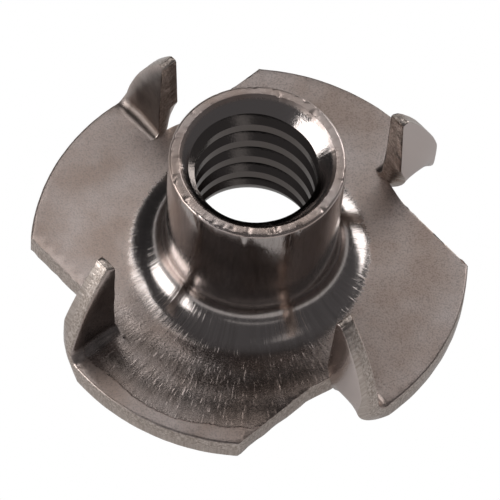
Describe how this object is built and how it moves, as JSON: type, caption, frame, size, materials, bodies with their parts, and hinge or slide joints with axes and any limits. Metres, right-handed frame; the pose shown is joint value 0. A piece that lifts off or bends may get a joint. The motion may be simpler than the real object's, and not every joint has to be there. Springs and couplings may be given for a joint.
{
  "type": "tee nut",
  "caption": "Pressed stainless tee nut: a round flange drawn up into a threaded barrel, with fin-shaped prongs folded up to bite into wood.",
  "frame": {"origin": "on the thread's axis, in the plane of the flange's underside", "axes": "+Z along the thread's axis, from the flange towards the barrel's rim; +X through one corner of the flange"},
  "size_m": [0.019, 0.019, 0.0086],
  "materials": {
    "stainless": "satin, as pressed, with drawing marks and sheared edges"
  },
  "bodies": {
    "root": {"tee_nut": "stainless"}
  },
  "joints": []
}
